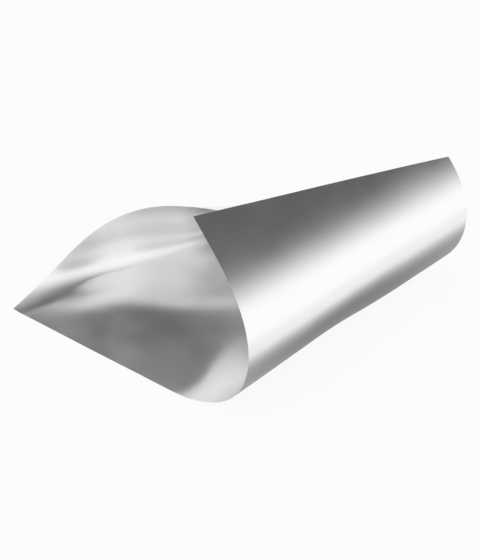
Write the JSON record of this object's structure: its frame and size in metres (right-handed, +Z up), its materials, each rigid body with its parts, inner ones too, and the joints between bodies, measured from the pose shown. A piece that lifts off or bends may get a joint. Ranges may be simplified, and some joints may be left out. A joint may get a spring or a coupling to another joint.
{
  "type": "rolled sheet of hair foil",
  "caption": "Loosely rolled rectangular sheet of bright hair foil, flat underneath, with a tall open curl on one side and a low slanted curl on the other.",
  "frame": {"origin": "under the middle of the sheet's bounding box, level with the underside of its flat foot", "axes": "+X across the strip in its flat foot, from the near cut edge to the far one; +Y along the strip, from the tall curl to the small one; +Z up"},
  "size_m": [0.1432, 0.1512, 0.0636],
  "materials": {
    "foil": "bright satin"
  },
  "bodies": {
    "root": {"foil_sheet": "foil"}
  },
  "joints": []
}
